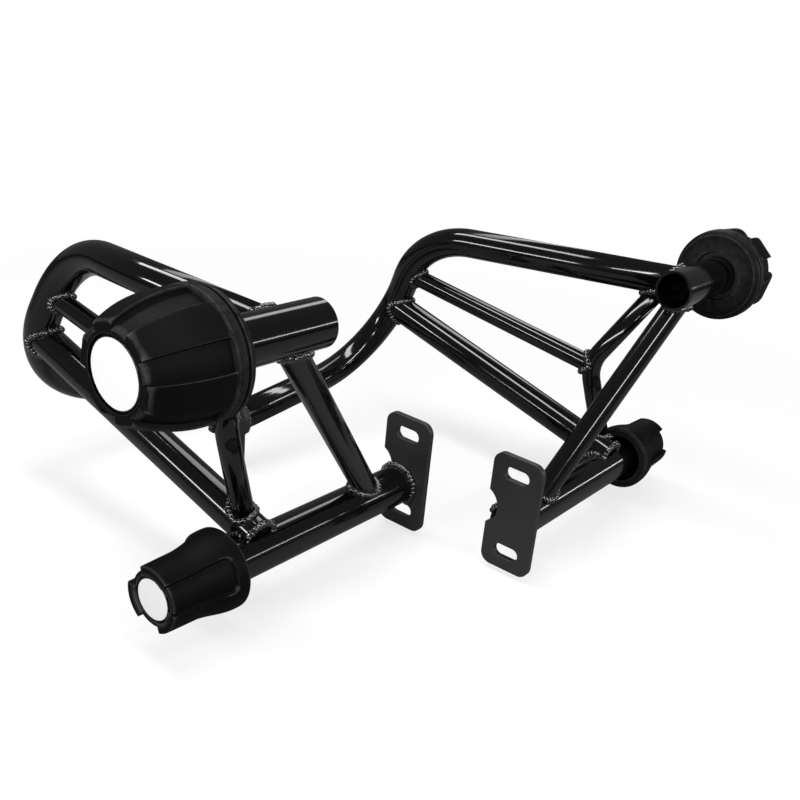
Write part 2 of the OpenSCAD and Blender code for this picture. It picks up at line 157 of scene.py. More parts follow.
def leg_point(drop):
    """Point of the hoop's axis at a distance along the line from the top corner to the low one."""
    spot = TOP_CORNER + LEG * drop
    for a, p, b, r, past in (
        (HOOP_ROOT, TOP_CORNER, LOW_CORNER, TOP_BEND_R, drop),
        (FOOT, LOW_CORNER, TOP_CORNER, LOW_BEND_R, LEG_L - drop),
    ):
        reach = r / math.tan(math.acos(unit(a - p) @ unit(b - p)) / 2) - past
        if reach > 0:
            inside = unit(np.cross(np.cross(LEG, a - p), LEG))
            spot = spot + inside * (r - math.sqrt(r * r - reach * reach))
    return spot


RAIL_ROOT = leg_point(RAIL_DROP)
RAIL_START = RAIL_ROOT + unit(RAIL_AIM - RAIL_ROOT) * RAIL_LAP
RAIL_END = RAIL_AIM + unit(RAIL_AIM - RAIL_START) * RAIL_LAP
UPPER_RAIL_ROOT = leg_point(UPPER_RAIL_DROP)
POST_TOP = HOOP_ROOT + unit(TOP_CORNER - HOOP_ROOT) * POST_ALONG
POST_END = POST_FOOT + (POST_CORNER - POST_FOOT) * RAIL_AIM[2] / POST_CORNER[2]
POST_BEND = corner_arc(POST_TOP, POST_CORNER, POST_END, POST_BEND_R, POST_STEP)
POST = np.array([POST_TOP] + POST_BEND + [POST_END])

# Tubes that others meet, each a path and its radius
UPPER_TUBE = (UPPER_STUB + [[UPPER_IN, 0, 0], [UPPER_OUT, 0, 0]], STUB_R)
LOWER_TUBE = (np.array([[0.0, 0, 0], [LOWER_OUT, 0, 0]]), STUB_R)
RAIL_TUBE = (np.array([RAIL_ROOT, RAIL_END]), RAIL_R)
HOOP_TUBE, POST_TUBE = (HOOP, HOOP_R), (POST, POST_R)
# A roll that touches the bracket's face at the hoop's foot
ROLL_R, ROLL_HALF = 40.0, 60.0
FOOT_ROLL = (FOOT + [[-ROLL_R, -ROLL_HALF, 0], [-ROLL_R, ROLL_HALF, 0]], ROLL_R)


def distance_to_path(points, path):
    """Shortest distance from each point to a line of points."""
    best = np.full(len(points), np.inf)
    for a, b in zip(path[:-1], path[1:]):
        d = b - a
        t = np.clip((points - a) @ d / (d @ d), 0, 1)
        best = np.minimum(best, np.linalg.norm(points - a - t[:, None] * d, axis=1))
    return best


def gap_to(points, mates):
    """Distance from each point to the nearest tube's surface, below 0 inside a tube."""
    return np.min([distance_to_path(points, path) - radius for path, radius in mates], axis=0)


def circle(centre, axis, r, count):
    """Points round a circle that is square to an axis."""
    a = unit(np.cross(axis, [0, 0, 1] if abs(axis[2]) < 0.9 else [0, 1, 0]))
    b = np.cross(axis, a)
    turn = np.linspace(0, 2 * math.pi, count, endpoint=False)
    return centre + r * (np.cos(turn)[:, None] * a + np.sin(turn)[:, None] * b)


def seam(end, away, r, mates):
    """Where a tube's surface lines first meet its mates, and which of them do.

    away points from the end into the tube. A line that meets none stops where it comes closest.
    """
    base = circle(end, away, r, SEAM_POINTS)
    near, far = np.full(SEAM_POINTS, SEAM_IN), np.full(SEAM_POINTS, SEAM_OUT)
    inside = np.zeros(SEAM_POINTS, bool)
    closest, nearest = np.full(SEAM_POINTS, np.inf), np.zeros(SEAM_POINTS)
    for s in np.linspace(SEAM_OUT, SEAM_IN, SEAM_STEPS):
        gap = gap_to(base + s * away, mates)
        nearest = np.where(gap < closest, s, nearest)
        closest = np.minimum(gap, closest)
        fresh = (gap < 0) & ~inside
        near[fresh] = s
        far[~inside & ~fresh] = s
        inside |= fresh
    near, far = np.where(inside, near, nearest), np.where(inside, far, nearest)
    for _ in range(SEAM_HALVINGS):
        middle = (near + far) / 2
        gap = gap_to(base + middle[:, None] * away, mates)
        near = np.where(gap < 0, middle, near)
        far = np.where(gap < 0, far, middle)
    return base + far[:, None] * away, inside


# Meshes

# How fast a bend becomes a pale edge (painted highlight and rub wear), and what counts as a round
# row, in mm
EDGE_GAIN, EDGE_LIFT, ROUND_ROW = 9, 1.6, 0.1
# Largest share of the lines beside a corner that its rounding takes
ROUND_SHARE, ROUND_STEPS = 0.45, 4


def new_object(name, data):
    obj = bpy.data.objects.new(name, data)
    bpy.context.scene.collection.objects.link(obj)
    return obj


def signed_volume(points, faces):
    """Six times the volume within the faces, below 0 if they point inwards."""
    total = 0.0
    for f in faces:
        p0 = points[f[0]]
        for i in range(1, len(f) - 1):
            total += p0 @ np.cross(points[f[i]], points[f[i + 1]])
    return total


def solid_mesh(name, points, faces):
    """A closed smooth mesh whose faces point outwards."""
    points = np.asarray(points, float)
    centred = points - points.mean(0)
    if signed_volume(centred, faces) < 0:
        faces = [tuple(reversed(f)) for f in faces]
    mesh = bpy.data.meshes.new(name)
    mesh.from_pydata([tuple(p) for p in points], [], faces)
    mesh.validate()
    mesh.polygons.foreach_set("use_smooth", [True] * len(mesh.polygons))
    mesh.update()
    return mesh


def ring_faces(rows, cols, closed):
    """Faces between rows of closed rings; closed joins the last row to the first."""
    faces = []
    for i in range(rows if closed else rows - 1):
        k = (i + 1) % rows
        for j in range(cols):
            m = (j + 1) % cols
            faces.append((i * cols + j, i * cols + m, k * cols + m, k * cols + j))
    return faces


def point_values(mesh, name, values):
    """Stores one number for each point of a mesh."""
    attribute = mesh.attributes.new(name, "FLOAT", "POINT")
    attribute.data.foreach_set("value", np.asarray(values, np.float32))


def grid_solid(name, side, grid):
    """A turned shell from a grid of rows x columns x (u, y, z), whose rows close on themselves."""
    rows, cols = grid.shape[:2]
    mesh = solid_mesh(name, place(side, grid), ring_faces(rows, cols, True))
    # The edge value pales the sliders' convex edges: a painted highlight, partly rub wear
    point_values(mesh, "edge", convexity(grid).ravel())
    return mesh


def convexity(grid):
    """How sharply the surface of a closed grid turns outwards at each point, from 0 to 1."""
    before, after = np.roll(grid, 1, 0), np.roll(grid, -1, 0)
    left, right = np.roll(grid, 1, 1), np.roll(grid, -1, 1)
    around = (before + after + left + right) / 4
    du, dv = after - before, right - left
    normal = np.cross(dv, du)
    length = np.linalg.norm(normal, axis=2, keepdims=True)
    normal = normal / np.maximum(length, 1e-9)
    centre = grid - grid.mean(axis=(0, 1))
    outward = np.sign(np.sum(normal * (centre * [0, 1, 1]), axis=2).mean())
    size = (np.linalg.norm(du, axis=2) + np.linalg.norm(dv, axis=2)) / 4
    bend = outward * np.sum((grid - around) * normal, axis=2) / np.maximum(size, 1e-6)
    edge = np.clip(bend * EDGE_GAIN, 0, 1)
    # A round row has one value all round, or its uneven columns show as stripes
    middle = (grid.max(axis=(0, 1)) + grid.min(axis=(0, 1))) / 2
    radius = np.linalg.norm((grid - middle)[:, :, 1:], axis=2)
    round_rows = radius.std(axis=1) < ROUND_ROW
    edge[round_rows] = edge[round_rows].mean(axis=1, keepdims=True)
    for _ in range(2):
        edge = (edge * 2 + np.roll(edge, 1, 0) + np.roll(edge, -1, 0)) / 4
        edge = (edge * 2 + np.roll(edge, 1, 1) + np.roll(edge, -1, 1)) / 4
    return np.clip(edge * EDGE_LIFT, 0, 1)


def rounded(points, radii):
    """A closed profile of (x, r) points with each corner rounded."""
    out = []
    n = len(points)
    for i, (p, radius) in enumerate(zip(points, radii)):
        p = np.array(p, float)
        a, b = np.array(points[i - 1], float), np.array(points[(i + 1) % n], float)
        if radius <= 0:
            out.append(p)
            continue
        ua, ub = unit(a - p), unit(b - p)
        cut = min(radius, *(ROUND_SHARE * np.linalg.norm(q - p) for q in (a, b)))
        p0, p1 = p + ua * cut, p + ub * cut
        for t in np.linspace(0, 1, ROUND_STEPS + 1):
            out.append((1 - t) ** 2 * p0 + 2 * t * (1 - t) * p + t**2 * p1)
    return out


def turned(profile, angles, centre):
    """Rings about the X axis through (y, z); each (x, r) may differ from angle to angle."""
    c, s = np.cos(angles), np.sin(angles)
    rings = [np.stack([x + 0 * c, centre[0] + r * c, centre[1] + r * s], 1) for x, r in profile]
    return np.array(rings)


def nose(x, r):
    """Profile of a nose that rounds over from radius r to a front face at x."""
    turn = np.linspace(0.15, 1, 6) * math.pi / 2
    return [(x - 1.0 + math.sin(t), r - 1.0 * (1 - math.cos(t))) for t in turn] + [(x, r - 1.3)]


def crowded_angles(count, first, lobes, half, fine):
    """Even angles with more of them, at the fine steps, round both flanks of each lobe."""
    angles = set(np.round(np.linspace(0, 2 * math.pi, count, endpoint=False), 5))
    for k in range(lobes):
        middle = first + k * 2 * math.pi / lobes
        for edge in (middle - half, middle + half):
            angles |= set(np.round((edge + fine) % (2 * math.pi), 5))
    angles = np.array(sorted(angles))
    return angles[np.append(np.diff(angles) > 1e-3, True)]


def smooth_step(t):
    """0 to 1 with a level start and end."""
    t = np.clip(t, 0, 1)
    return t * t * (3 - 2 * t)


# Node trees


class Value:
    """A node's socket that takes part in Python sums."""

    def __init__(self, nodes, socket):
        self.nodes = nodes
        self.socket = socket

    def _sum(self, operation, other):
        return self.nodes.node("ShaderNodeMath", {"operation": operation}, {0: self, 1: other})

    def __add__(self, other):
        return self._sum("ADD", other)

    __radd__ = __add__

    def __mul__(self, other):
        return self._sum("MULTIPLY", other)

    def __sub__(self, other):
        return self._sum("SUBTRACT", other)


class Nodes:
    """A node tree, with one method that adds any node."""

    def __init__(self, tree):
        self.tree = tree
        self.tree.nodes.clear()

    def feed(self, socket, value):
        if isinstance(value, Value):
            self.tree.links.new(value.socket, socket)
        elif socket.type == "RGBA":
            socket.default_value = (*value, 1)
        else:
            socket.default_value = value

    def node(self, kind, settings, inputs, output=0):
        """Adds a node and gives one of its outputs."""
        node = self.tree.nodes.new(kind)
        for name, value in settings.items():
            setattr(node, name, value)
        for name, value in inputs.items():
            self.feed(node.inputs[name], value)
        return Value(self, node.outputs[output])


class Finish(Nodes):
    """One material: its shader and the nodes that vary it."""

    def __init__(self, name):
        self.material = bpy.data.materials.new(name)
        self.material.use_nodes = True
        super().__init__(self.material.node_tree)
        self.output = self.tree.nodes.new("ShaderNodeOutputMaterial")
        self.shader = self.tree.nodes.new("ShaderNodeBsdfPrincipled")
        self.tree.links.new(self.shader.outputs["BSDF"], self.output.inputs["Surface"])
        self.place = self.node("ShaderNodeTexCoord", {}, {}, "Object")

    def noise(self, scale, detail, roughness=0.5):
        inputs = {"Vector": self.place, "Scale": scale, "Detail": detail, "Roughness": roughness}
        return self.node("ShaderNodeTexNoise", {}, inputs, "Fac")

    def ramp(self, value, low, high):
        """value from low to high as 0 to 1."""
        inputs = {"Value": value, "From Min": low, "From Max": high}
        return self.node("ShaderNodeMapRange", {"clamp": True}, inputs)

    def mix(self, factor, a, b):
        """Colour a to colour b, by the node's colour sockets."""
        return self.node("ShaderNodeMix", {"data_type": "RGBA"}, {"Factor": factor, 6: a, 7: b}, 2)

    def bump(self, height, strength, distance):
        inputs = {"Height": height, "Strength": strength, "Distance": distance}
        return self.node("ShaderNodeBump", {}, inputs)

    def point_value(self, name):
        return self.node("ShaderNodeAttribute", {"attribute_name": name}, {}, "Fac")

    def set(self, **inputs):
        for name, value in inputs.items():
            self.feed(self.shader.inputs[name.replace("_", " ")], value)
        return self.material


class PieceTree(Nodes):
    """A geometry tree with named inputs for its sizes."""

    def __init__(self, name, **sizes):
        old = bpy.data.node_groups.get(name)
        if old:
            bpy.data.node_groups.remove(old)
        super().__init__(bpy.data.node_groups.new(name, "GeometryNodeTree"))
        face = self.tree.interface
        for label, kind in {"Geometry": "Geometry", **sizes, "Material": "Material"}.items():
            face.new_socket(label, in_out="INPUT", socket_type="NodeSocket" + kind)
        face.new_socket("Geometry", in_out="OUTPUT", socket_type="NodeSocketGeometry")
        self.group_input = self.tree.nodes.new("NodeGroupInput")
        self.group_output = self.tree.nodes.new("NodeGroupOutput")

    def given(self, name):
        return Value(self, self.group_input.outputs[name])

    def close(self, geometry):
        """Makes the geometry real, smooth and coated, and ends the tree with it."""
        real = self.node("GeometryNodeRealizeInstances", {}, {"Geometry": geometry})
        smooth = self.node("GeometryNodeSetShadeSmooth", {}, {"Geometry": real})
        inputs = {"Geometry": smooth, "Material": self.given("Material")}
        coated = self.node("GeometryNodeSetMaterial", {}, inputs)
        self.feed(self.group_output.inputs["Geometry"], coated)
        return self.tree


def sweep_tree():
    """Sweeps a round tube along a line of edges."""
    g = PieceTree("tube sweep", Radius="Float", Sides="Int")
    line = g.node("GeometryNodeMeshToCurve", {}, {"Mesh": g.given("Geometry")})
    inputs = {"Radius": g.given("Radius"), "Resolution": g.given("Sides")}
    around = g.node("GeometryNodeCurvePrimitiveCircle", {}, inputs)
    return g.close(g.node("GeometryNodeCurveToMesh", {}, {"Curve": line, "Profile Curve": around}))


def bead_tree():
    """Lays overlapping ripples along lines of edges, over a round core."""
    g = PieceTree("weld bead", Radius="Float", Pitch="Float")
    line = g.node("GeometryNodeMeshToCurve", {}, {"Mesh": g.given("Geometry")})
    inputs = {"Curve": line, "Length": g.given("Pitch")}
    stations = g.node("GeometryNodeResampleCurve", {"mode": "LENGTH"}, inputs)
    inputs = {"Radius": g.given("Radius"), "Subdivisions": RIPPLE_DETAIL}
    blob = g.node("GeometryNodeMeshIcoSphere", {}, inputs)
    inputs = {"Geometry": blob, "Scale": (1.0, 1.0, RIPPLE_FLAT)}
    flat = g.node("GeometryNodeTransform", {}, inputs)
    tangent = g.node("GeometryNodeInputTangent", {}, {})
    aim = g.node("FunctionNodeAlignRotationToVector", {"axis": "Z"}, {"Vector": tangent})
    inputs = {"Min": RIPPLE_MIN, "Max": RIPPLE_MAX, "Seed": RIPPLE_SEED}
    lean = g.node("FunctionNodeRandomValue", {"data_type": "FLOAT_VECTOR"}, inputs)
    inputs = {"Points": stations, "Instance": flat, "Rotation": aim, "Scale": lean}
    ripples = g.node("GeometryNodeInstanceOnPoints", {}, inputs)
    inputs = {"Radius": g.given("Radius") * BEAD_CORE, "Resolution": CORE_SIDES}
    around = g.node("GeometryNodeCurvePrimitiveCircle", {}, inputs)
    core = g.node("GeometryNodeCurveToMesh", {}, {"Curve": stations, "Profile Curve": around})
    both = g.node("GeometryNodeJoinGeometry", {}, {"Geometry": core})
    g.feed(both.socket.node.inputs["Geometry"], ripples)
    return g.close(both)


def run_tree(obj, tree, values):
    """Runs a geometry tree on an object and leaves it a plain mesh."""
    modifier = obj.modifiers.new(tree.name, "NODES")
    modifier.node_group = tree
    for item in tree.interface.items_tree:
        if item.in_out == "INPUT" and item.name in values:
            modifier[item.identifier] = values[item.name]
    apply_modifier(obj, modifier)


def apply_modifier(obj, modifier):
    """Leaves an object the plain mesh that its modifier makes."""
    bpy.context.view_layer.update()
    evaluated = obj.evaluated_get(bpy.context.evaluated_depsgraph_get())
    made = bpy.data.meshes.new_from_object(evaluated)
    obj.modifiers.remove(modifier)
    obj.data = made


def line_mesh(name, lines):
    """Edges along several lines of points, each (points in metres, closed)."""
    points, edges = [], []
    for line, closed in lines:
        start = len(points)
        points += [tuple(p) for p in line]
        edges += [(start + i, start + i + 1) for i in range(len(line) - 1)]
        if closed:
            edges.append((start + len(line) - 1, start))
    mesh = bpy.data.meshes.new(name)
    mesh.from_pydata(points, edges, [])
    return mesh


# Materials


def gloss_paint(f, look):
    """Gloss black powder coat: faint orange peel, a little dust and fine marks where it was rubbed.
    """
    peel = f.noise(110, 1.0)
    haze = f.ramp(f.noise(14, 3.0), 0.35, 0.75)
    dust = f.ramp(f.noise(1900, 0.0), 0.74, 0.82)
    # Rub marks that dull the coat's sheen; here they only raise the roughness, and nothing is
    # painted into the colour
    rub_and_sheen = f.ramp(f.noise(60, 6.0, 0.7), 0.62, 0.8)
    return f.set(
        Base_Color=f.mix(dust * 0.06, look.paint, (0.2, 0.2, 0.19)),
        Roughness=look.paint_roughness + haze * 0.04 + rub_and_sheen * 0.05 + dust * 0.12,
        Normal=f.bump(peel, 0.03, 0.0006),
        Specular_IOR_Level=0.42,
        Coat_Weight=0.3,
        Coat_Roughness=0.05,
    )


def weld_paint(f, look):
    """The same coat over the weld beads, glossier, and rougher where they are spattered."""
    spatter = f.noise(900, 3.0, 0.6)
    return f.set(
        Base_Color=f.mix(f.ramp(spatter, 0.6, 0.8) * 0.25, look.paint, (0.08, 0.08, 0.08)),
        Roughness=look.paint_roughness - 0.02 + f.ramp(spatter, 0.4, 0.8) * 0.12,
        Normal=f.bump(spatter, 0.3, 0.0005),
        Specular_IOR_Level=1.0,
        Coat_Weight=0.5,
        Coat_Roughness=0.04,
    )


def plate_paint(f, look):
    """Satin black on the cut plates: fine texture and slightly rubbed."""
    grain = f.noise(1400, 3.0, 0.6)
    cloud = f.ramp(f.noise(22, 4.0, 0.6), 0.35, 0.75)
    return f.set(
        Base_Color=f.mix(cloud * 0.5, look.plate, [c * 1.7 + 0.004 for c in look.plate]),
        Roughness=look.plate_roughness + grain * 0.12 + cloud * 0.06,
        Normal=f.bump(grain, 0.12, 0.0003),
        Specular_IOR_Level=0.45,
    )


def slider_nylon(f, look):
    """Moulded black nylon: fine spark grain, cloudy sheen, and convex edges painted paler in
    patches, a painted highlight that is partly rub wear.
    """
    grain = f.noise(2600, 2.0, 0.6)
    cloud = f.ramp(f.noise(34, 5.0, 0.65), 0.35, 0.75)
    patches = f.ramp(f.noise(220, 3.0, 0.6), 0.2, 0.6)
    # Painted highlight: convex edges are painted paler, in patches that also stand for rub wear
    rub_and_sheen = f.ramp(f.point_value("edge"), 0.3, 0.85) * patches
    base = f.mix(cloud * 0.4, look.nylon, [c * 2 for c in look.nylon])
    return f.set(
        Base_Color=f.mix(rub_and_sheen, base, (0.055, 0.055, 0.053)),
        Roughness=look.nylon_roughness + grain * 0.14 - rub_and_sheen * 0.12 + cloud * 0.05,
        Normal=f.bump(grain, 0.18, 0.0003),
        Specular_IOR_Level=0.07,
    )


def bushing_rubber(f, look):
    """Dull black rubber with a coarse grain."""
    grain = f.noise(800, 4.0, 0.6)
    return f.set(
        Base_Color=f.mix(grain * 0.5, (0.008, 0.008, 0.008), (0.02, 0.02, 0.02)),
        Roughness=0.62 + grain * 0.15,
        Normal=f.bump(grain, 0.2, 0.0004),
        Specular_IOR_Level=0.35,
    )


def badge_white(f, look):
    """Glossy white badge with its outer ring painted near black as painted shade, a faint dome wave
    and hair scratches.
    """
    wave = f.noise(70, 1.0)
    hair = f.ramp(f.noise(700, 6.0, 0.8), 0.66, 0.74)
    face = f.mix(hair * 0.25, look.badge, [c * 0.82 for c in look.badge])
    return f.set(
        # Painted shade: the outer ring of the face is near black, for the dark gap in the slider's
        # recess round the badge
        Base_Color=f.mix(f.point_value("shade_ring"), face, (0.004, 0.004, 0.004)),
        Roughness=0.16 + hair * 0.2,
        Normal=f.bump(wave, 0.04, 0.0006),
        Coat_Weight=0.3,
    )


def zinc(f, look):
    """Cloudy zinc plate."""
    cloud = f.ramp(f.noise(320, 4.0, 0.6), 0.3, 0.7)
    return f.set(
        Base_Color=f.mix(cloud, (0.42, 0.43, 0.45), (0.6, 0.61, 0.62)),
        Metallic=1.0,
        Roughness=0.3 + cloud * 0.12,
        Normal=f.bump(f.noise(1500, 2.0), 0.1, 0.0002),
    )


COATS = {
    "tube_paint": ("gloss black powder coat", gloss_paint),
    "weld_paint": ("gloss black coat on welds", weld_paint),
    "plate_paint": ("satin black plate coat", plate_paint),
    "slider_nylon": ("moulded black nylon", slider_nylon),
    "bushing_rubber": ("black bushing rubber", bushing_rubber),
    "badge_white": ("glossy white badge", badge_white),
    "zinc": ("zinc plated steel", zinc),
}


def material(key):
    """A material of the table, made when it is first asked for."""
    name, maker = COATS[key]
    return bpy.data.materials.get(name) or maker(Finish(name), bpy.context.scene.crash_bar_look)


def coat(obj, key):
    """Gives an object one material and no other."""
    obj.data.materials.clear()
    obj.data.materials.append(material(key))


def keep(obj, node, slot):
    """Coats a finished piece and lets it stand for a CAD node."""
    coat(obj, slot)
    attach(obj, "root")
    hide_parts(node)


# Settings


class CrashBarLook(bpy.types.PropertyGroup):
    paint: bpy.props.FloatVectorProperty(
        name="Tube paint", description="Colour of the tubes' gloss coat",
        subtype="COLOR", size=3, min=0, max=1, default=(0.0015, 0.0015, 0.0017),
    )
    paint_roughness: bpy.props.FloatProperty(
        name="Tube roughness", description="Roughness of the tubes' gloss coat",
        subtype="FACTOR", min=0, max=1, default=0.1,
    )
    plate: bpy.props.FloatVectorProperty(
        name="Plate paint", description="Colour of the mount plates and front brackets",
        subtype="COLOR", size=3, min=0, max=1, default=(0.016, 0.016, 0.0165),
    )
    plate_roughness: bpy.props.FloatProperty(
        name="Plate roughness", description="Roughness of the plates' satin coat",
        subtype="FACTOR", min=0, max=1, default=0.38,
    )
    nylon: bpy.props.FloatVectorProperty(
        name="Slider nylon", description="Colour of the moulded sliders",
        subtype="COLOR", size=3, min=0, max=1, default=(0.0018, 0.0018, 0.0019),
    )
    nylon_roughness: bpy.props.FloatProperty(
        name="Slider roughness", description="Roughness of the moulded sliders",
        subtype="FACTOR", min=0, max=1, default=0.44,
    )
    badge: bpy.props.FloatVectorProperty(
        name="Badge", description="Colour of the round badges",
        subtype="COLOR", size=3, min=0, max=1, default=(0.95, 0.95, 0.945),
    )


class CrashBarSizes(bpy.types.PropertyGroup):
    weld_radius: bpy.props.FloatProperty(
        name="Weld radius", description="Radius of the weld beads' ripples",
        default=0.0031, min=0.001, max=0.005, unit="LENGTH",
    )
    weld_pitch: bpy.props.FloatProperty(
        name="Weld pitch", description="Distance between two ripples of a weld bead",
        default=0.0031, min=0.001, max=0.006, unit="LENGTH",
    )
    plate_edge: bpy.props.FloatProperty(
        name="Plate edge", description="Width of the rounded edge of the plates",
        default=0.0006, min=0.0001, max=0.002, unit="LENGTH",
    )
    pad_count: bpy.props.IntProperty(
        name="Pads", description="Raised pads round the upper slider",
        default=6, min=5, max=8, subtype="UNSIGNED",
    )


class CrashBarStage(bpy.types.PropertyGroup):
    lens: bpy.props.FloatProperty(
        name="Lens", description="Focal length on a 36 mm sensor",
        default=44.353, min=20, max=120, unit="CAMERA",
    )
    powers: bpy.props.FloatVectorProperty(
        name="Lights", description="Power of the low, top, front and right strip and the back box",
        default=(12.0, 12.0, 9.0, 3.5, 4.5), size=5, min=0, unit="POWER",
    )
    sky: bpy.props.FloatProperty(
        name="Surroundings", description="Strength of the white surroundings as a light",
        default=0.13, min=0, soft_max=1, subtype="FACTOR",
    )
    glow: bpy.props.FloatProperty(
        name="Floor glow", description="Share of plain white in the floor under the object",
        default=0.7, min=0, max=1, subtype="FACTOR",
    )


# Tubes


def bent_tube(name, side, tube, sides, first, last):
    """A swept tube whose end rings are moved to where they meet their mates."""
    path, radius = tube
    obj = new_object(name, line_mesh(name, [(place(side, path), False)]))
    sizes = {"Radius": radius / 1000, "Sides": sides, "Material": material("tube_paint")}
    run_tree(obj, sweep_tree(), sizes)
    mesh = obj.data
    count = len(mesh.vertices) // sides
    points = np.zeros(len(mesh.vertices) * 3)
    mesh.vertices.foreach_get("co", points)
    points = points.reshape(count, sides, 3)
    for row, end, mates in ((0, path[:2], first), (count - 1, path[:-3:-1], last)):
        near = [(place(side, mate), mate_r / 1000) for mate, mate_r in mates]
        spot, inner = place(side, [end[0], end[0] + unit(end[1] - end[0])])
        away = unit(inner - spot)
        for k in range(sides):
            base = points[row, k] - spot
            base = spot + base - (base @ away) * away
            points[row, k] = come_out(base, away, near)
    mesh.vertices.foreach_set("co", points.ravel())
    work = bmesh.new()
    work.from_mesh(mesh)
    work.verts.ensure_lookup_table()
    work.faces.new([work.verts[k] for k in range(sides)])
    work.faces.new([work.verts[(count - 1) * sides + k] for k in range(sides)])
    bmesh.ops.recalc_face_normals(work, faces=work.faces)
    work.to_mesh(mesh)
    work.free()
    return obj


def come_out(base, away, mates):
    """Where a surface line comes out of the mates, or base if it meets none."""
    steps = np.linspace(REACH_OUT, REACH_IN, REACH_STEPS)
    inside = np.nonzero(gap_to(base + steps[:, None] * away, mates) < 0)[0]
    s = steps[inside[0]] if len(inside) else 0.0
    return base + (s - TUBE_SINK) * away


class CRASHBARS_OT_tubes(bpy.types.Operator):
    """Coats the tubes and sweeps the bent ones smoothly"""

    bl_idname = "crashbars.tubes"
    bl_label = "Tubes"

    def execute(self, context):
        for side in SIDES:
            for part in ("lower_stub", "upper_stub", "lower_rail", "upper_rail", "brace"):
                coat(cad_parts[f"{side}_{part}"], "tube_paint")
            obj = bent_tube(
                f"{side}_hoop_tube", side, HOOP_TUBE, HOOP_SIDES, [UPPER_TUBE], [FOOT_ROLL]
            )
            keep(obj, f"{side}_main_hoop", "tube_paint")
            obj = bent_tube(
                f"{side}_post_tube", side, POST_TUBE, POST_SIDES,
                [UPPER_TUBE, HOOP_TUBE], [LOWER_TUBE, RAIL_TUBE],
            )
            keep(obj, f"{side}_post", "tube_paint")
        return {"FINISHED"}


# Weld beads


def weld_lines(side):
    """Every weld seam of one bar, as (points, closed)."""
    jobs = [
        (HOOP_ROOT, HOOP[1], HOOP_R, [UPPER_TUBE]),
        (POST_TOP, POST[1], POST_R, [UPPER_TUBE, HOOP_TUBE]),
        (POST_END, POST[-2], POST_R, [LOWER_TUBE, RAIL_TUBE]),
        (UPPER_RAIL_ROOT, POST_CORNER, UPPER_RAIL_R, [HOOP_TUBE]),
        (POST_CORNER, UPPER_RAIL_ROOT, UPPER_RAIL_R, [POST_TUBE]),
        (RAIL_START, RAIL_END, RAIL_R, [HOOP_TUBE]),
        (BRACE_TOP, BRACE_FOOT, BRACE_R, [UPPER_TUBE, HOOP_TUBE]),
        (BRACE_FOOT, BRACE_TOP, BRACE_R, [LOWER_TUBE]),
    ]
    lines = []
    for end, inner, r, mates in jobs:
        wide = [(path, radius + MATE_OFF) for path, radius in mates]
        line, _ = seam(end, unit(inner - end), r + SEAM_OFF, wide)
        lines.append((line, True))
    lines += [(line, False) for line in lap_lines()]
    turn = np.radians(np.linspace(PLATE_BEAD_FROM, PLATE_BEAD_TO, PLATE_RING_POINTS))
    around = np.stack([0 * turn, np.cos(turn), np.sin(turn)], 1)
    lines.append((around * (STUB_R + PLATE_OFF) + [PLATE_T + PLATE_OFF, 0, 0], False))
    lines.append((foot_ring(), True))
    return [(place(side, line), closed) for line, closed in lines]


def lap_lines():
    """Open beads where the lower rail laps the lower stub, and on the rim of its shut end."""
    away = unit(RAIL_START - RAIL_END)
    path, radius = LOWER_TUBE
    line, inside = seam(RAIL_END, away, RAIL_R + LAP_OFF, [(path, radius + LAP_MATE_OFF)])
    start = int(np.argmax(~inside & np.roll(inside, -1)))
    line, inside = np.roll(line, -start - 1, 0), np.roll(inside, -start - 1)
    rim = circle(RAIL_END - away, away, RAIL_R - RIM_IN, SEAM_POINTS)
    clear = distance_to_path(rim, path) > STUB_R - RIM_SUNK
    start = int(np.argmax(clear & ~np.roll(clear, 1)))
    return line[inside], np.roll(rim, -start, 0)[np.roll(clear, -start)]


def foot_ring():
    """Where the hoop's foot meets its bracket."""
    away = unit(HOOP[-2] - FOOT)
    around = circle(FOOT, away, HOOP_R + PLATE_OFF, PLATE_RING_POINTS)
    slide = (FOOT[0] + PLATE_OFF - around[:, 0]) / away[0]
    return around + slide[:, None] * away


class CRASHBARS_OT_welds(bpy.types.Operator):
    """Lays a rippled weld bead round each joint of the tubes"""

    bl_idname = "crashbars.welds"
    bl_label = "Weld beads"

    def execute(self, context):
        settings = context.scene.crash_bar_sizes
        sizes = {"Radius": settings.weld_radius, "Pitch": settings.weld_pitch}
        sizes["Material"] = material("weld_paint")
        for side in SIDES:
            name = f"{side}_weld_beads"
            obj = new_object(name, line_mesh(name, weld_lines(side)))
            run_tree(obj, bead_tree(), sizes)
            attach(obj, "root")
        return {"FINISHED"}


# Plates

MERGE_DISTANCE = 1e-6
FLAT_ANGLE, SHARP_ANGLE = math.radians(0.5), math.radians(50)


def soft_edged(name, node, width):
    """A copy of a CAD plate with its flat faces merged and its edges rounded."""
    work = bmesh.new()
    work.from_mesh(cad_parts[node].data)
    bmesh.ops.remove_doubles(work, verts=work.verts, dist=MERGE_DISTANCE)
    bmesh.ops.dissolve_limit(work, angle_limit=FLAT_ANGLE, verts=work.verts, edges=work.edges)
    sharp = [e for e in work.edges if len(e.link_faces) == 2 and e.calc_face_angle() > SHARP_ANGLE]
    bmesh.ops.bevel(
        work, geom=sharp, offset=width, segments=3, profile=0.5, affect="EDGES", clamp_overlap=True
    )
    bmesh.ops.recalc_face_normals(work, faces=work.faces)
    mesh = bpy.data.meshes.new(name)
    work.to_mesh(mesh)
    work.free()
    mesh.polygons.foreach_set("use_smooth", [True] * len(mesh.polygons))
    obj = new_object(name, mesh)
    flat = obj.modifiers.new("weighted", "WEIGHTED_NORMAL")
    flat.keep_sharp = False
    flat.weight = 100
    apply_modifier(obj, flat)
    return obj


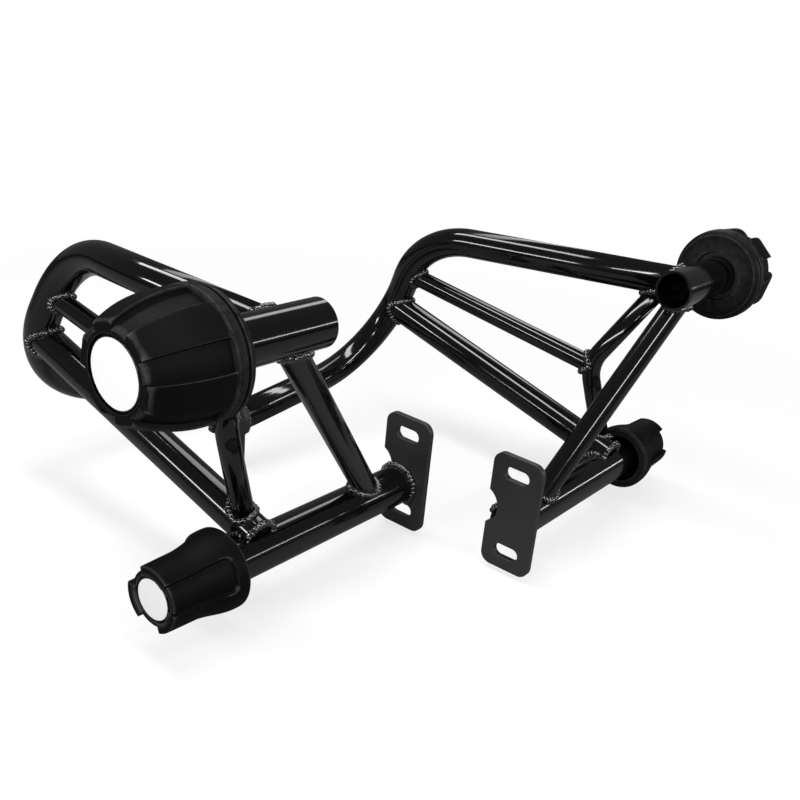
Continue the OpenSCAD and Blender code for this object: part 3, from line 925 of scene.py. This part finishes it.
class CRASHBARS_OT_plates(bpy.types.Operator):
    """Rounds the edges of the mount plates and front brackets and coats them"""

    bl_idname = "crashbars.plates"
    bl_label = "Plates and brackets"

    def execute(self, context):
        width = context.scene.crash_bar_sizes.plate_edge
        for side in SIDES:
            for part in ("mount_plate", "front_bracket"):
                obj = soft_edged(f"{side}_{part}_edged", f"{side}_{part}", width)
                keep(obj, f"{side}_{part}", "plate_paint")
        return {"FINISHED"}


# Upper slider

U_FRONT, U_REAR, U_PADS = 291.0, 229.0, 244.0
U_SEAT, U_HEAD = 289.0, 277.0
U_BORE, U_RECESS = 20.9, 20.8
# Pads: middle of the first one, half width, and half of their flat face
U_FIRST, U_HALF, U_FLAT = math.radians(12), math.radians(16.5), math.radians(17.5)
# Radii of the pads and of the channels between them, rear and front
U_PAD_RADII, U_CHANNEL_RADII = (37.5, 26.5), (34.7, 23.7)
U_BULGE = 2.4
# Mean radius, width of a flank, and width and depth of its worn edge
U_MEAN_R, U_FLANK, U_WORN, U_WORN_DROP = 33, 0.5, 0.7, 0.25
U_FINE = np.radians([-2.4, -1.5, -1.0, -0.7, -0.45, -0.2, 0, 0.2, 0.45, 0.7, 1.0, 1.5, 2.4])
U_ANGLES, U_REAR_R = 120, 37.0


def barrel(x, radii):
    """Radius at x of a barrel that narrows faster and faster towards the front."""
    rear, front = radii
    t = np.clip((x - U_PADS) / (U_FRONT - U_PADS), 0, 1)
    return rear - (rear - front) * t**U_BULGE


def upper_outer(x, angles, pad_count):
    """Radius of the pads and channels at x for every angle."""
    pitch = 2 * math.pi / pad_count
    off = (angles - U_FIRST + pitch / 2) % pitch - pitch / 2
    flank = (U_HALF - np.abs(off)) * U_MEAN_R
    raised = smooth_step(flank / U_FLANK + 0.5)
    pad = barrel(x, U_PAD_RADII) / np.cos(np.clip(off, -U_FLAT, U_FLAT))
    channel = barrel(x, U_CHANNEL_RADII)
    edge = np.exp(-((flank / U_WORN) ** 2)) * U_WORN_DROP
    return channel + (pad - channel) * raised - edge * raised


def upper_slider_grid(pad_count):
    """The upper slider's shell, from its bore round the rear, the pads and the nose."""
    angles = crowded_angles(U_ANGLES, U_FIRST, pad_count, U_HALF, U_FINE)
    profile = rounded(
        [(U_HEAD, 5.25), (UPPER_OUT, 5.25), (UPPER_OUT, U_BORE), (U_REAR, U_BORE),
         (U_REAR, 34.5), (U_REAR + 3, 37.7), (U_REAR + 6, 38.3), (U_REAR + 6.5, 37.0),
         (U_REAR + 8, 37.0), (U_REAR + 8.5, 38.5), (U_PADS - 1, 38.5), (U_PADS, U_REAR_R)],
        [0.3, 0.3, 0.5, 1.0, 0.8, 0.6, 0.4, 0.3, 0.3, 0.5, 0.5, 0.0],
    )
    rear = upper_outer(U_PADS, angles, pad_count)
    for t in (0.0, 0.35, 0.7, 1.0):
        r = np.minimum(rear, U_REAR_R + (rear - U_REAR_R) * t)
        profile.append((U_PADS + 0.05 + 0.35 * t * t, r))
    for x in np.linspace(U_PADS + 0.9, U_FRONT - 1.2, 34):
        profile.append((x, upper_outer(x, angles, pad_count)))
    front = upper_outer(U_FRONT, angles, pad_count)
    profile += nose(U_FRONT, front) + [(U_FRONT, (front + U_RECESS) / 2)]
    profile += rounded(
        [(U_FRONT, U_RECESS + 0.6), (U_FRONT, U_RECESS), (U_SEAT, U_RECESS), (U_SEAT, 11.0),
         (U_HEAD, 11.0), (U_HEAD, 5.6)],
        [0.0, 0.35, 0.3, 0.3, 0.3, 0.0],
    )
    return turned(profile, angles, UPPER_CENTRE)


def mould_sliders(part, grid):
    """Makes one kind of slider for both bars."""
    for side in SIDES:
        name = f"{side}_{part}_shell"
        obj = new_object(name, grid_solid(name, side, grid))
        keep(obj, f"{side}_{part}", "slider_nylon")


class CRASHBARS_OT_upper_sliders(bpy.types.Operator):
    """Moulds the upper sliders with their raised pads"""

    bl_idname = "crashbars.upper_sliders"
    bl_label = "Upper sliders"

    def execute(self, context):
        pad_count = context.scene.crash_bar_sizes.pad_count
        mould_sliders("upper_slider", upper_slider_grid(pad_count))
        return {"FINISHED"}


# Lower slider

L_FRONT, L_REAR = 244.0, 186.0
L_FLARE, L_SLIM = 193.0, 222.0
L_SEAT, L_HEAD, L_RECESS = 241.0, 231.0, 16.1
# Radii of the slim front and of the flare, and the slim part's draft
L_SLIM_R, L_FLARE_R, L_DRAFT = 22.75, 28.75, 0.035
# Pockets: middle of the first one, half width, rear end, corner, wall, depth, shorter nose
L_FIRST, L_HALF = math.radians(37), math.radians(27)
L_POCKET_REAR, L_CORNER, L_WALL = 197.0, 5.0, 0.7
L_POCKET_DROP, L_NOSE_DROP, L_NOSE_START = 3.0, 2.0, 225.0
L_FINE = np.radians([-3.2, -2.2, -1.5, -1.0, -0.6, -0.3, 0, 0.3, 0.6, 1.0, 1.5, 2.2, 3.2])
L_ANGLES, L_LOBES = 150, 3


def flare(x):
    """Radius of the lower slider at x, without its pockets."""
    t = np.clip((L_SLIM - x) / (L_SLIM - L_FLARE), 0, 1)
    slim = L_SLIM_R + (L_FRONT - x) * L_DRAFT
    return slim + (L_FLARE_R - L_SLIM_R - (L_FRONT - L_FLARE) * L_DRAFT) * smooth_step(t)


def pocket_depth(x, angles):
    """How far the pockets between the lobes lower the surface at x, from 0 to 1."""
    half = math.pi / L_LOBES
    off = (angles - L_FIRST + half) % (2 * half) - half
    r = flare(x)
    a = np.abs(off) * r - (L_HALF * r - L_CORNER)
    b = (L_POCKET_REAR + L_CORNER) - x
    out = np.hypot(np.maximum(a, 0), max(b, 0)) + np.minimum(np.maximum(a, b), 0) - L_CORNER
    return smooth_step(0.5 - out / L_WALL)


def lower_slider_grid():
    """The lower slider's shell, from its bore round the flare, the pockets and the nose."""
    angles = crowded_angles(L_ANGLES, L_FIRST, L_LOBES, L_HALF, L_FINE)
    profile = rounded(
        [(L_HEAD, 4.25), (LOWER_OUT, 4.25), (LOWER_OUT, STUB_R + 0.1), (L_REAR + 17, STUB_R + 0.1),
         (L_REAR + 17, 18.4), (L_REAR + 12, 18.4), (L_REAR + 12, 21.5), (L_REAR, 21.5),
         (L_REAR, 26.75), (L_REAR + 2, L_FLARE_R), (L_REAR + 3.5, L_FLARE_R)],
        [0.3, 0.3, 0.3, 0.3, 0.3, 0.3, 0.5, 0.8, 0.7, 0.9, 0.0],
    )
    depth = pocket_depth(L_FRONT, angles)
    for ends in ((L_REAR + 4.5, 195.0, 7), (195.4, 204.0, 30), (205.0, L_FRONT - 1.4, 26)):
        for x in np.linspace(*ends):
            # The rings are drawn back towards the pockets' shorter front
            share = np.clip((x - L_NOSE_START) / (L_FRONT - L_NOSE_START), 0, 1)
            r = flare(x) - L_POCKET_DROP * pocket_depth(x, angles)
            profile.append((x - L_NOSE_DROP * depth * share, r))
    front = flare(L_FRONT) - L_POCKET_DROP * depth
    tip = L_FRONT - L_NOSE_DROP * depth
    profile += nose(tip, front) + [(tip, (front + L_RECESS) / 2 + 0.2)]
    profile += [(tip, L_RECESS + 0.5), (tip - 0.1, L_RECESS + 0.15)]
    profile += rounded(
        [(L_SEAT + 0.6, L_RECESS), (L_SEAT, L_RECESS), (L_SEAT, 8.8), (L_HEAD, 8.8), (L_HEAD, 4.6)],
        [0.0, 0.2, 0.3, 0.3, 0.0],
    )
    return turned(profile, angles, LOWER_CENTRE)


class CRASHBARS_OT_lower_sliders(bpy.types.Operator):
    """Moulds the lower sliders with their lobes and pockets"""

    bl_idname = "crashbars.lower_sliders"
    bl_label = "Lower sliders"

    def execute(self, context):
        mould_sliders("lower_slider", lower_slider_grid())
        return {"FINISHED"}


# Bushings, badges and fixings

FITTING_ANGLES = 96
UPPER_BADGE_R, LOWER_BADGE_R = 19.6, 14.9
# Height of a badge's rim, rise of its domed face, and where its outer ring, painted black as
# painted shade of the recess round it, ends
BADGE_RIM, BADGE_DOME, BADGE_SHADE_RING = 1.22, 0.16, 0.8


def badge_mesh(name, side, seat, r, centre, angles):
    """A thin round badge with a soft edge, a slightly domed face and an outer ring painted black as
    painted shade.
    """
    profile = [(seat, r * k) for k in (0.25, 0.6, 0.92)] + [(seat, r - 0.15), (seat + 0.15, r)]
    profile += [(seat + 0.8, r), (seat + 1.1, r - 0.1), (seat + BADGE_RIM, r - 0.35)]
    dark = len(profile) + 1
    shade_ring = ((r - BADGE_SHADE_RING) / r, (r - BADGE_SHADE_RING - 0.06) / r)
    for k in (*shade_ring, 0.88, 0.75, 0.6, 0.45, 0.3, 0.15):
        profile.append((seat + BADGE_RIM + BADGE_DOME * (1 - k * k), r * k))
    grid = turned(profile, angles, centre)
    rows, cols = grid.shape[:2]
    poles = [[seat, *centre], [seat + BADGE_RIM + BADGE_DOME, *centre]]
    points = np.concatenate([grid.reshape(-1, 3), poles])
    faces = ring_faces(rows, cols, False)
    low, high = rows * cols, rows * cols + 1
    for j in range(cols):
        m = (j + 1) % cols
        faces.append((low, m, j))
        faces.append((high, (rows - 1) * cols + j, (rows - 1) * cols + m))
    mesh = solid_mesh(name, place(side, points), faces)
    # The back, the rim and the outer ring of the face are marked to be painted black: painted shade
    # of the recess
    point_values(mesh, "shade_ring", np.arange(len(points)) < dark * cols)
    return mesh


class CRASHBARS_OT_fittings(bpy.types.Operator):
    """Turns the bushings and badges and plates the fixings behind them"""

    bl_idname = "crashbars.fittings"
    bl_label = "Bushings, badges and fixings"

    def execute(self, context):
        angles = np.linspace(0, 2 * math.pi, FITTING_ANGLES, endpoint=False)
        profile = rounded(
            [(UPPER_OUT, STUB_R), (U_REAR + 4, STUB_R), (U_REAR + 4, U_BORE), (UPPER_OUT, U_BORE)],
            [0.3, 1.4, 1.2, 0.3],
        )
        sleeve = turned(profile, angles, UPPER_CENTRE)
        badges = (
            ("upper_badge", U_SEAT, UPPER_BADGE_R, UPPER_CENTRE),
            ("lower_badge", L_SEAT, LOWER_BADGE_R, LOWER_CENTRE),
        )
        for side in SIDES:
            name = f"{side}_upper_bushing_sleeve"
            obj = new_object(name, grid_solid(name, side, sleeve))
            keep(obj, f"{side}_upper_bushing", "bushing_rubber")
            for part, seat, r, centre in badges:
                name = f"{side}_{part}_disc"
                obj = new_object(name, badge_mesh(name, side, seat, r, centre, angles))
                keep(obj, f"{side}_{part}", "badge_white")
            for level in ("upper", "lower"):
                for part in ("bolt", "washer", "plug"):
                    coat(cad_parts[f"{side}_{level}_{part}"], "zinc")
        return {"FINISHED"}


# Stage

FLOOR_HALF = 40
# Distances from the middle between which the floor turns plain white
FLOOR_NEAR, FLOOR_FAR = 0.35, 0.9
# Name, place, direction of the length, length and width
LIGHTS = (
    ("low strip", (-1.15, -0.1, 0.55), (0, 1, 0), 1.7, 0.10),
    ("top strip", (-0.15, 0.1, 1.25), (0, 1, 0), 1.5, 0.22),
    ("front strip", (-0.1, -1.3, 0.8), (1, 0, 0), 1.3, 0.10),
    ("right strip", (0.85, -1.25, 0.45), (1, 0, 0), 1.5, 0.05),
    ("back box", (0.75, 0.4, 1.1), (1, 0, 0), 1.4, 0.28),
)
LIGHTS_AIM = np.array([0, 0, 0.12])
# The camera's axes, its place in mm from the left bar's zero point, and its lens
CAMERA_RIGHT = (0.5706653, -0.81101, 0.1288562)
CAMERA_DOWN = (-0.2729671, -0.3353359, -0.9016867)
CAMERA_FORWARD = (0.774487, 0.4793878, -0.4127436)
CAMERA_PLACE = np.array([-571.5, -432.488, 368.879])
LENS_SHIFT = (-0.1125, 0.05375)
SENSOR_WIDTH = 36


def pale_floor(glow):
    """A pale floor that keeps a soft shadow and turns plain white further out, for the camera."""
    f = Finish("pale floor")
    f.tree.nodes.remove(f.shader)
    lit = f.node("ShaderNodeBsdfDiffuse", {}, {"Color": (0.9, 0.9, 0.9)})
    dim = f.node("ShaderNodeBsdfDiffuse", {}, {"Color": (0.22, 0.22, 0.22)})
    white = f.node("ShaderNodeEmission", {}, {"Color": (1, 1, 1), "Strength": 1.0})
    far = f.node("ShaderNodeVectorMath", {"operation": "LENGTH"}, {0: f.place}, "Value")
    seen = f.node("ShaderNodeLightPath", {}, {}, "Is Camera Ray")
    share = f.ramp(far, FLOOR_NEAR, FLOOR_FAR) * (1 - glow) + glow
    faced = f.node("ShaderNodeMixShader", {}, {"Fac": share, 1: lit, 2: white})
    mixed = f.node("ShaderNodeMixShader", {}, {"Fac": seen, 1: dim, 2: faced})
    f.feed(f.output.inputs["Surface"], mixed)
    return f.material


def lay_floor(glow):
    """A wide floor under the object."""
    h = FLOOR_HALF
    floor = bpy.data.meshes.new("floor")
    floor.from_pydata([(-h, -h, 0), (h, -h, 0), (h, h, 0), (-h, h, 0)], [], [(0, 1, 2, 3)])
    floor.materials.append(pale_floor(glow))
    new_object("floor", floor)


def surround(scene, strength):
    """Surroundings that the camera sees plain white and that light the object."""
    world = bpy.data.worlds.new("white surroundings")
    scene.world = world
    world.use_nodes = True
    sky = Nodes(world.node_tree)
    seen = sky.node("ShaderNodeLightPath", {}, {}, "Is Camera Ray")
    inputs = {"Value": seen, "To Min": strength, "To Max": 1.0}
    shown = sky.node("ShaderNodeMapRange", {}, inputs)
    background = sky.node("ShaderNodeBackground", {}, {"Color": (1, 1, 1), "Strength": shown})
    output = sky.tree.nodes.new("ShaderNodeOutputWorld")
    sky.feed(output.inputs["Surface"], background)


def strip_light(power, name, location, along, length, width):
    """A long light that faces the object, with its length turned along a direction."""
    data = bpy.data.lights.new(name, "AREA")
    data.energy = power
    data.shape = "RECTANGLE"
    data.size = length
    data.size_y = width
    obj = new_object(name, data)
    obj.location = location
    z = unit(np.array(location, float) - LIGHTS_AIM)
    along = np.array(along, float)
    x = unit(along - (along @ z) * z)
    direction = Matrix((x, np.cross(z, x), z)).transposed()
    obj.rotation_euler = direction.to_euler()


def set_camera(scene, lens):
    """A camera at the place that was fitted to the photograph."""
    camera = bpy.data.cameras.new("camera")
    camera.lens = lens
    camera.sensor_width = SENSOR_WIDTH
    camera.shift_x, camera.shift_y = LENS_SHIFT
    obj = new_object("camera", camera)
    where = (CAMERA_PLACE + [-PAIR_GAP / 2, -PAIR_MIDDLE, FLOOR_DROP]) / 1000
    matrix = Matrix.Identity(4)
    for row in range(3):
        matrix[row] = (CAMERA_RIGHT[row], -CAMERA_DOWN[row], -CAMERA_FORWARD[row], where[row])
    obj.matrix_world = matrix
    scene.camera = obj


class CRASHBARS_OT_stage(bpy.types.Operator):
    """Sets the floor, the surroundings, the lights and the camera"""

    bl_idname = "crashbars.stage"
    bl_label = "Stage"

    def execute(self, context):
        settings = context.scene.crash_bar_stage
        lay_floor(settings.glow)
        surround(context.scene, settings.sky)
        for light, power in zip(LIGHTS, settings.powers):
            strip_light(power, *light)
        set_camera(context.scene, settings.lens)
        context.scene.view_settings.view_transform = "Standard"
        return {"FINISHED"}


class CRASHBARS_PT_panel(bpy.types.Panel):
    """Lists the sizes, colours and pieces"""

    bl_label = "Crash bars"
    bl_idname = "CRASHBARS_PT_panel"
    bl_space_type = "VIEW_3D"
    bl_region_type = "UI"
    bl_category = "Crash bars"

    def draw(self, context):
        for _, group in GROUPS:
            settings = getattr(context.scene, group)
            for name in settings.__annotations__:
                self.layout.prop(settings, name)
        for operator in OPERATORS:
            self.layout.operator(operator.bl_idname)


OPERATORS = (
    CRASHBARS_OT_stage,
    CRASHBARS_OT_tubes,
    CRASHBARS_OT_welds,
    CRASHBARS_OT_plates,
    CRASHBARS_OT_upper_sliders,
    CRASHBARS_OT_lower_sliders,
    CRASHBARS_OT_fittings,
)
GROUPS = (
    (CrashBarLook, "crash_bar_look"),
    (CrashBarSizes, "crash_bar_sizes"),
    (CrashBarStage, "crash_bar_stage"),
)


def register():
    for group, name in GROUPS:
        bpy.utils.register_class(group)
        setattr(bpy.types.Scene, name, bpy.props.PointerProperty(type=group))
    for operator in OPERATORS:
        bpy.utils.register_class(operator)
    bpy.utils.register_class(CRASHBARS_PT_panel)


def unregister():
    bpy.utils.unregister_class(CRASHBARS_PT_panel)
    for operator in reversed(OPERATORS):
        bpy.utils.unregister_class(operator)
    for group, name in reversed(GROUPS):
        delattr(bpy.types.Scene, name)
        bpy.utils.unregister_class(group)


def main():
    register()
    bpy.ops.crashbars.stage()
    bpy.ops.crashbars.tubes()
    bpy.ops.crashbars.welds()
    bpy.ops.crashbars.plates()
    bpy.ops.crashbars.upper_sliders()
    bpy.ops.crashbars.lower_sliders()
    bpy.ops.crashbars.fittings()


if __name__ == "__main__":
    main()
